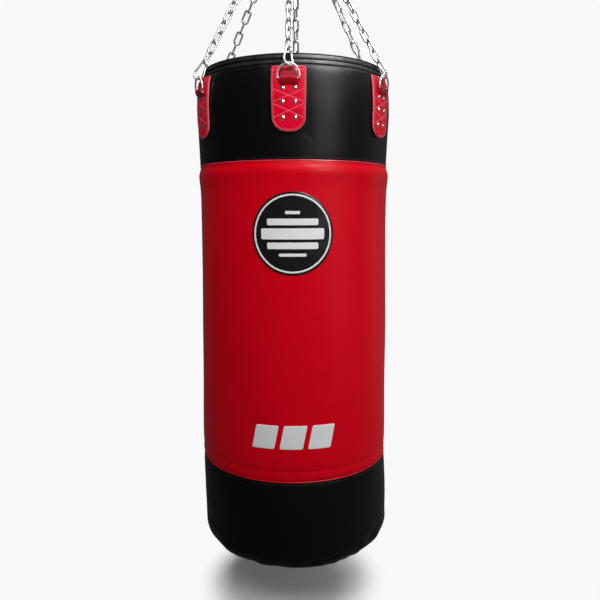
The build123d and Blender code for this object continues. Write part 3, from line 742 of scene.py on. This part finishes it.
def make_lid_and_base(mats):
    """Lid with a zip panel, and the bottom panel with its gathered seam."""
    lid_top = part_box("zip_tape")[0].z
    black = mats["black_vinyl"]

    def lid_height(r, angle):
        a = np.array([angle])
        x = r * math.sin(angle)
        y = -r * math.cos(angle)
        tape = max(abs(y) - 17 * MM, abs(x) - 172 * MM)
        clear = min(max(tape / (30 * MM), 0), 1)
        wave = uneven(a, a * 0 + r, 1.2, 9, 0.07, 61)[0] * clear
        gather = uneven(a, a * 0 + r, 0.8, 72, 0.2, 62)[0] * falloff(r - LID_RADIUS, 22 * MM)
        turned_up = 4.5 * MM * max(0.0, (r - 208 * MM) / (11 * MM)) ** 2
        top = lid_top - 0.3 * MM + min(wave * 0.5, 1.0 * MM) - 0.4 * MM * clear + gather * 0.5 + turned_up * 0.6
        return top, top - PANEL_THICK

    lid_rings = np.concatenate([np.linspace(0.004, 0.2, 60), np.linspace(0.202, LID_RADIUS, 18)])
    lid = disc_grid("lid_panel", lid_rings, 360, lid_height, black)
    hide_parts("top_lid")

    def base_height(r, angle):
        a = np.array([angle])
        gather = falloff(r - PANEL_RADIUS, 30 * MM)
        wave = uneven(a, a * 0 + r, 1.1, 9, 0.08, 63)[0] + uneven(a, a * 0 + r, 1.3, 60, 0.3, 64)[0] * gather
        bottom = FOOT - 1.5 * MM * (1 - (r / PANEL_RADIUS) ** 2) + max(wave, -1.5 * MM)
        if r > 198 * MM:
            bottom = FOOT + 0.6 * MM
        return bottom + PANEL_THICK, bottom

    base_rings = np.concatenate([np.linspace(0.004, 0.17, 44), np.linspace(0.172, 0.201, 22)])
    base = disc_grid("base_panel", base_rings, 360, base_height, black)
    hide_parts("bottom_panel")
    seam = BAG_HEIGHT - 0.6 * MM
    welt = tube_ring("base_welt", seam, PANEL_RADIUS + 0.2 * MM, 2.0 * MM, 480, 0.15, 120, 65, black)
    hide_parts("bottom_welt")
    for piece in (lid, base, welt):
        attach(piece, "bag")


# ---------------------------------------------------------------------------
# Hanging tabs
# ---------------------------------------------------------------------------
def rounded_distance(u, v):
    """Signed distance to the tab's outline; u across from its centre, v down from its top."""
    corner = np.where(v > TAB_HEIGHT / 2, TAB_CORNER, 3 * MM)
    qx = np.abs(u) - TAB_WIDTH / 2 * (1 - TAB_TAPER * np.clip(v / TAB_HEIGHT, 0, 1)) + corner
    qy = np.abs(v - TAB_HEIGHT / 2) - TAB_HEIGHT / 2 + corner
    outside = np.hypot(np.maximum(qx, 0), np.maximum(qy, 0))
    return outside + np.minimum(np.maximum(qx, qy), 0) - corner


def half_width(v, inset=0.0):
    """Half of the tab's width at v below its top, measured to a line inset from its outline."""
    low, high = 0.0, TAB_WIDTH / 2
    for _ in range(40):
        mid = (low + high) / 2
        if rounded_distance(np.array(mid), np.array(v)) > -inset:
            high = mid
        else:
            low = mid
    return low


def line_distance(u, v, a, b):
    ax, ay = a
    bx, by = b
    t = np.clip(((u - ax) * (bx - ax) + (v - ay) * (by - ay)) / ((bx - ax) ** 2 + (by - ay) ** 2), 0, 1)
    return np.hypot(u - ax - t * (bx - ax), v - ay - t * (by - ay))


def cross_lines():
    """Two X patterns of stitching, between the rows of rivets."""
    lines = []
    side = 33 * MM
    for top, bottom in ((80, 107), (111, 141)):
        t = top * MM - TAB_TOP
        b = bottom * MM - TAB_TOP
        lines.append(((-side, t), (side, b)))
        lines.append(((side, t), (-side, b)))
    return lines


def tab_height(u, v):
    """Height of the leather above the bag: rolled edges, sewn-down lines, dimples at the rivets."""
    inside = -rounded_distance(u, v)
    edge = np.clip(inside / (2.2 * MM), 0, 1)
    height = TAB_THICK * (0.35 + 0.65 * np.sqrt(1 - (1 - edge) ** 2))
    height -= 0.55 * MM * falloff(inside - 5.2 * MM, 0.9 * MM)
    height += 0.35 * MM * falloff(inside - 2.6 * MM, 1.6 * MM)
    for a, b in cross_lines():
        height -= 0.75 * MM * falloff(line_distance(u, v, a, b), 1.5 * MM)
    for depth in RIVET_DEPTHS:
        for side in (-1, 1):
            away = np.hypot(u - side * RIVET_SIDE, v - (depth - TAB_TOP))
            height -= 0.8 * MM * falloff(away, 7.5 * MM)
    height += 0.35 * MM * np.sin(u / (9 * MM)) * np.sin(v / (13 * MM) + 0.7)
    return height


def on_bag(u, v, lift, spin):
    """Point on the bag: u across, v below the tab's top, lift off the skin, turned round by spin."""
    depth = TAB_TOP + v
    radius = surface_radius(UPPER_SKIN, depth) + lift
    angle = u / BAG_RADIUS + spin
    return np.stack([radius * np.sin(angle), -radius * np.cos(angle), RIM - depth], axis=-1)


def make_tab(index, mats):
    number = str(index + 1)
    spin = tab_angles()[index]
    top_zone = 5 * MM
    foot_zone = 12 * MM
    turn = np.linspace(0, math.pi / 2, 26)[1:]
    down = np.concatenate([np.linspace(0, top_zone, 12, endpoint=False),
                           np.linspace(top_zone, TAB_HEIGHT - foot_zone, 118),
                           TAB_HEIGHT - foot_zone + foot_zone * np.sin(turn)])
    across = np.linspace(-1, 1, 97)
    across = np.sign(across) * (1 - (1 - np.abs(across)) ** 1.25)
    widths = np.array([half_width(min(v, TAB_HEIGHT - 1e-6)) for v in down])
    u = across[None, :] * widths[:, None]
    v = np.repeat(down[:, None], len(across), axis=1)
    top = on_bag(u, v, TAB_GAP + tab_height(u, v), spin)
    under = on_bag(u, v, np.full_like(u, TAB_GAP), spin)
    verts = np.vstack([top.reshape(-1, 3), under.reshape(-1, 3)])
    faces = slab_faces(*u.shape)
    tab = add_object("leather_tab_" + number, verts, faces, mats["tab_leather"])
    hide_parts("hanging_tab_" + number)
    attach(tab, "bag")
    stitches = make_tab_stitches(number, spin, mats)
    bead = make_tab_edge(number, spin, mats)
    for piece in (stitches, bead):
        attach(piece, "bag")


def stitch_path(points, spacing, length, wire, spin):
    """Stitches along a line of (u, v) points on a tab."""
    line = even_samples(np.array(points), 400)
    gaps = np.linalg.norm(np.diff(line, axis=0), axis=1)
    along = np.concatenate([[0], np.cumsum(gaps)])
    count = max(1, int(along[-1] / spacing))
    parts = []
    for i in range(count):
        middle = (i + 0.5) * along[-1] / count
        ends = []
        for side in (-0.5, 0.5):
            u = np.interp(middle + side * length, along, line[:, 0])
            v = np.interp(middle + side * length, along, line[:, 1])
            ends.append(on_bag(u, v, TAB_GAP + tab_height(u, v) + 0.35 * wire, spin))
        angle = spin + np.interp(middle, along, line[:, 0]) / BAG_RADIUS
        parts.append(capsule(ends[0], ends[1], wire, (math.sin(angle), -math.cos(angle), 0)))
    return parts


def border_points(inset):
    """Line of stitching that follows the tab's outline."""
    turn = np.linspace(0.05, math.pi / 2, 24)
    straight = np.linspace(inset, TAB_HEIGHT - TAB_CORNER, 30)
    rounded = TAB_HEIGHT - TAB_CORNER + (TAB_CORNER - inset) * np.sin(turn)
    left = [(-half_width(v, inset), v) for v in np.concatenate([straight, rounded])]
    right = [(-u, v) for u, v in reversed(left) if u < -1e-6]
    return left + right


def make_tab_edge(number, spin, mats):
    """Bead round the cut leather, coloured pale pink: a painted highlight where the rounded edge catches the light.
    """
    inset = 0.25 * MM
    top_middle = (0.0, inset)
    line = even_samples(np.array([top_middle] + border_points(inset) + [top_middle]), 321)[:-1]
    sides = 8
    wire = 0.85 * MM
    centre = on_bag(line[:, 0], line[:, 1], np.full(len(line), TAB_GAP + 0.5 * TAB_THICK), spin)
    along = np.roll(centre, -1, axis=0) - np.roll(centre, 1, axis=0)
    along /= np.linalg.norm(along, axis=1)[:, None]
    out = on_bag(line[:, 0], line[:, 1], np.full(len(line), TAB_THICK), spin) - centre
    out /= np.linalg.norm(out, axis=1)[:, None]
    side = np.cross(along, out)
    flatness = 1.9
    verts = []
    faces = []
    count = len(line)
    for i in range(count):
        for k in range(sides):
            turn = TAU * k / sides
            verts.append(centre[i] + wire * (flatness * out[i] * math.cos(turn) + side[i] * math.sin(turn)))
        faces += band(i * sides, (i + 1) % count * sides, sides, flip=True)
    return add_object("tab_edge_" + number, verts, faces, mats["painted_edge_highlight"])


def make_tab_stitches(number, spin, mats):
    parts = stitch_path(border_points(3.2 * MM), 4.2 * MM, 3.1 * MM, 0.34 * MM, spin)
    for a, b in cross_lines():
        parts += stitch_path([a, b], 4.4 * MM, 3.5 * MM, 0.6 * MM, spin)
    return join_parts("tab_stitches_" + number, parts, mats["thread_red"])


def make_rivets(mats):
    """Domed heads with a thin flange, seated in their dimples."""
    profile = [(0.0, 2.5), (0.9, 2.45), (1.8, 2.25), (2.7, 1.85), (3.5, 1.25), (4.0, 0.7), (4.25, 0.45), (4.8, 0.38),
               (4.95, 0.15), (4.8, -0.1), (2.0, -0.2), (2.0, -5.0), (0.0, -5.0)]
    sides = 28
    last = 1 + (len(profile) - 3) * sides
    faces = [(0, 1 + (k + 1) % sides, 1 + k) for k in range(sides)]
    for a in range(1, last, sides):
        faces += band(a, a + sides, sides)
    faces += [(last + k, last + (k + 1) % sides, last + sides) for k in range(sides)]
    parts = []
    for centre in tab_angles():
        for depth in RIVET_DEPTHS:
            for u in (-RIVET_SIDE, RIVET_SIDE):
                v = depth - TAB_TOP
                lift = float(tab_height(np.array(u), np.array(v))) + TAB_GAP + 0.15 * MM
                seat = on_bag(np.array(u), np.array(v), lift, centre)
                angle = centre + u / BAG_RADIUS
                out = np.array([math.sin(angle), -math.cos(angle), 0.0])
                side_axis = np.array([math.cos(angle), math.sin(angle), 0.0])
                verts = [seat + out * profile[0][1] * MM]
                for r, h in profile[1:-1]:
                    for k in range(sides):
                        turn = TAU * k / sides
                        ring = side_axis * math.cos(turn) + np.array([0, 0, 1.0]) * math.sin(turn)
                        verts.append(seat + ring * r * MM + out * h * MM)
                verts.append(seat + out * profile[-1][1] * MM)
                parts.append((verts, faces))
    rivets = join_parts("rivet_heads", parts, mats["rivet"])
    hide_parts("rivets")
    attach(rivets, "bag")


def strap_loop(spin):
    """Strap folded round the D-ring's bar, its tail sewn down on the tab."""
    bar_radius = surface_radius(UPPER_SKIN, STRAP_DEPTH) + 9.4 * MM
    outline = [(0, 4.3), (1.9, 3.9), (3.5, 2.6), (4.3, 0.6), (4.2, -2), (3.4, -5), (1.6, -8.5), (-0.6, -11.0),
               (-1.9, -11.4), (-3.4, -10.9), (-4.6, -8.5), (-4.7, -4.5), (-4.5, -1), (-4.1, 1.6), (-2.6, 3.6)]
    loop = smooth_loop(np.array(outline) * MM, 56)
    angle = np.arctan2(loop[:, 1], loop[:, 0])
    hole = 2.45 * MM * np.column_stack([np.cos(angle), np.sin(angle)])
    least = 2.7 * MM
    half = 20 * MM
    stations = [(-1.0, 0.86), (-0.985, 0.95), (-0.95, 1.0), (-0.6, 1.0), (-0.2, 1.01), (0.2, 1.0), (0.6, 1.01),
                (0.95, 1.0), (0.985, 0.95), (1.0, 0.86)]
    verts = []
    for outer in (True, False):
        for t, size in stations:
            section = loop * size if outer else hole
            for point in section:
                if outer and np.linalg.norm(point) < least:
                    point = point / np.linalg.norm(point) * least
                out, up = point
                x = t * half
                y = -(bar_radius + out)
                verts.append((x * math.cos(spin) - y * math.sin(spin), x * math.sin(spin) + y * math.cos(spin),
                              level(STRAP_DEPTH) + up))
    count = len(loop)
    inner = len(stations) * count
    last = inner - count
    faces = band(0, inner, count, flip=True) + band(last, inner + last, count)
    for a in range(0, last, count):
        faces += band(a, a + count, count)
        faces += band(inner + a, inner + a + count, count, flip=True)
    return verts, faces


def strap_tongue(spin):
    """Other end of the strap, flat on the tab inside the D-ring; its dark red is partly the leather's own colour and
    partly painted shade under the ring.
    """
    half = 20.5 * MM
    length = 20.5 * MM
    across = np.array([-1.0, -0.985, -0.95, -0.6, -0.3, 0.0, 0.3, 0.6, 0.95, 0.985, 1.0])
    down = np.array([0.0, 0.012, 0.05, 0.3, 0.6, 0.9, 1.0])
    t, w = np.meshgrid(across, down)
    u = half * t * (1 - 0.16 * (1 - w) ** 2)
    v = 4.5 * MM + length * w
    border = np.minimum(1 - np.abs(t), w * 0.6) / 0.04
    rise = 0.7 * MM + 0.9 * MM * np.sqrt(np.clip(border, 0, 1))
    rise += 0.12 * MM * np.sin(t * 5 + w * 3)
    seat = TAB_GAP + TAB_THICK
    top = on_bag(u.ravel(), v.ravel(), (seat + rise).ravel(), spin)
    under = on_bag(u.ravel(), v.ravel(), np.full(u.size, seat - 0.3 * MM), spin)
    return [tuple(p) for p in np.vstack([top, under])], slab_faces(*t.shape)


def smooth_loop(points, count):
    """Even samples of a smooth closed curve through the points."""
    n = len(points)
    fine = []
    for i in range(n):
        p0, p1, p2, p3 = (points[(i + k) % n] for k in (-1, 0, 1, 2))
        for t in np.linspace(0, 1, 16, endpoint=False):
            fine.append(0.5 * (2 * p1 + (p2 - p0) * t + (2 * p0 - 5 * p1 + 4 * p2 - p3) * t * t
                               + (3 * p1 - p0 - 3 * p2 + p3) * t ** 3))
    fine.append(fine[0])
    return even_samples(np.array(fine), count + 1)[:-1]


def make_keepers(mats):
    parts = [strap_loop(spin) for spin in tab_angles()]
    parts += [strap_tongue(spin) for spin in tab_angles()]
    # loop and tongue take the darker red, which is partly painted shade under the D-ring
    keepers = join_parts("bar_straps", parts, mats["tab_dark_and_shade"])
    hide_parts("strap_keepers")
    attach(keepers, "bag")


def on_front(u, depth, lift):
    """Point on the red wrap at the front of the bag."""
    radius = surface_radius(RED_SKIN, depth) + lift
    angle = u / (BAG_RADIUS + 3 * MM)
    return np.stack([radius * np.sin(angle), -radius * np.cos(angle), RIM - depth], axis=-1)


def plate(outline, centre_depth, base, thickness, round_over):
    """Verts and faces of a raised print with a rounded edge, from a closed convex outline of (u, v)."""
    outline = np.array(outline)
    middle = outline.mean(axis=0)
    size = np.linalg.norm(outline - middle, axis=1)
    rings = [(1.0, 0.0), (1.0, 0.55), (1.0 - 0.35 * round_over / size.min(), 0.86),
             (1.0 - round_over / size.min(), 1.0), (0.85, 1.0), (0.6, 1.0), (0.3, 1.0)]
    count = len(outline)
    verts = []
    for scale, rise in rings:
        pts = middle + (outline - middle) * scale
        verts.append(on_front(pts[:, 0], centre_depth + pts[:, 1], np.full(count, base + thickness * rise)))
    top = on_front(middle[0], centre_depth + middle[1], base + thickness)
    under = on_front(middle[0], centre_depth + middle[1], base)
    verts = np.vstack(verts + [top[None, :], under[None, :]])
    top_index = len(rings) * count
    last = top_index - count
    faces = []
    for a in range(0, last, count):
        faces += band(a, a + count, count)
    for k in range(count):
        m = (k + 1) % count
        faces.append((last + k, last + m, top_index))
        faces.append((m, k, top_index + 1))
    return [tuple(v) for v in verts], faces


def rounded_bar(cx, cy, width, height, corner, slant=0.0):
    """Convex outline of a bar with rounded corners, leaning by slant."""
    pts = []
    for qx, qy, start in ((1, 1, 0), (-1, 1, 90), (-1, -1, 180), (1, -1, 270)):
        for step in range(9):
            turn = math.radians(start + 90 * step / 8)
            x = qx * (width / 2 - corner) + corner * math.cos(turn)
            y = qy * (height / 2 - corner) + corner * math.sin(turn)
            pts.append((cx + x - slant * y, cy + y))
    dense = even_samples(np.array(pts + pts[:1]), 121)[:-1]
    return [tuple(p) for p in dense]


def annulus(outer, inner, centre_depth, base, thickness, count=200):
    """Verts and faces of a raised ring line."""
    soft = 0.3 * MM
    section = [(outer, 0.0), (outer, 0.6), (outer - soft, 1.0),
               (inner + soft, 1.0), (inner, 0.6), (inner, 0.0)]
    turn = np.linspace(0, TAU, count, endpoint=False)
    verts = []
    for radius, rise in section:
        verts.append(on_front(radius * np.cos(turn), centre_depth + radius * np.sin(turn),
                              np.full(count, base + thickness * rise)))
    verts = np.vstack(verts)
    faces = []
    for j in range(len(section)):
        faces += band(j * count, (j + 1) % len(section) * count, count)
    return [tuple(v) for v in verts], faces


def make_prints(mats):
    """Round badge with a plain ring and bars, and the row of slanted bars below."""
    turns = [TAU * i / 240 for i in range(240)]
    circle = [(BADGE_RADIUS * math.cos(turn), BADGE_RADIUS * math.sin(turn)) for turn in turns]
    print_lift = 1.82 * MM
    face = plate(circle, BADGE_DEPTH, 0.2 * MM, 1.6 * MM, 2.2 * MM)
    ring = annulus(89.8 * MM, 85.8 * MM, BADGE_DEPTH, print_lift, 0.45 * MM)
    bars = []
    for cy, width, height in BADGE_BARS:
        outline = rounded_bar(0, cy * MM, width * MM, height * MM, 3.0 * MM)
        bars.append(plate(outline, BADGE_DEPTH, print_lift, 0.4 * MM, 0.35 * MM))
    marks = []
    for cx in (-67.3, 0.0, 67.3):
        outline = rounded_bar(cx * MM, 0, 55 * MM, 58 * MM, 4 * MM, 0.2)
        marks.append(plate(outline, MARK_DEPTH, 0.15 * MM, 0.7 * MM, 0.5 * MM))
    disc = join_parts("badge_plate", [face], mats["badge_black"])
    line = join_parts("badge_line", [ring], mats["badge_white"])
    emblem = join_parts("badge_bars", bars, mats["badge_white"])
    mark = join_parts("lower_bars", marks, mats["mark_white"])
    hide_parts("badge_disc")
    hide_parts("badge_ring")
    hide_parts("lower_mark")
    for piece in (disc, line, emblem, mark):
        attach(piece, "bag")


def main():
    bpy.context.scene.view_settings.view_transform = "Standard"
    make_camera()
    make_lights()
    make_world()
    make_floor()
    mats = make_materials()
    make_skins(mats)
    make_rim(mats)
    make_seams(mats)
    make_lid_and_base(mats)
    for index in range(TABS):
        make_tab(index, mats)
    make_rivets(mats)
    make_keepers(mats)
    make_prints(mats)
    carried = {
        "zip_tape": "zip_tape", "zip_teeth": "zip_metal", "zip_slider": "zip_metal",
        "zip_puller": "zip_metal", "gel_layer": "inner", "foam_liner": "inner", "textile_filling": "inner",
        "backing_plates": "zinc", "rivet_washers": "zinc", "master_ring": "zinc", "oval_link": "zinc",
        "oval_sleeve": "zinc", "swivel_bow": "forged", "swivel_eye": "forged", "swivel_nut": "zinc",
        "thrust_bearing": "chrome",
    }
    for index in range(TABS):
        number = str(index + 1)
        carried["d_ring_" + number] = "chrome"
        carried["snap_hook_" + number] = "chrome"
        carried["hook_gate_" + number] = "chrome"
        carried["chain_" + number] = "zinc"
    for node, key in carried.items():
        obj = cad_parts[node]
        if not obj.material_slots:
            obj.data.materials.append(mats[key])
        for material_slot in obj.material_slots:
            material_slot.material = mats[key]


main()
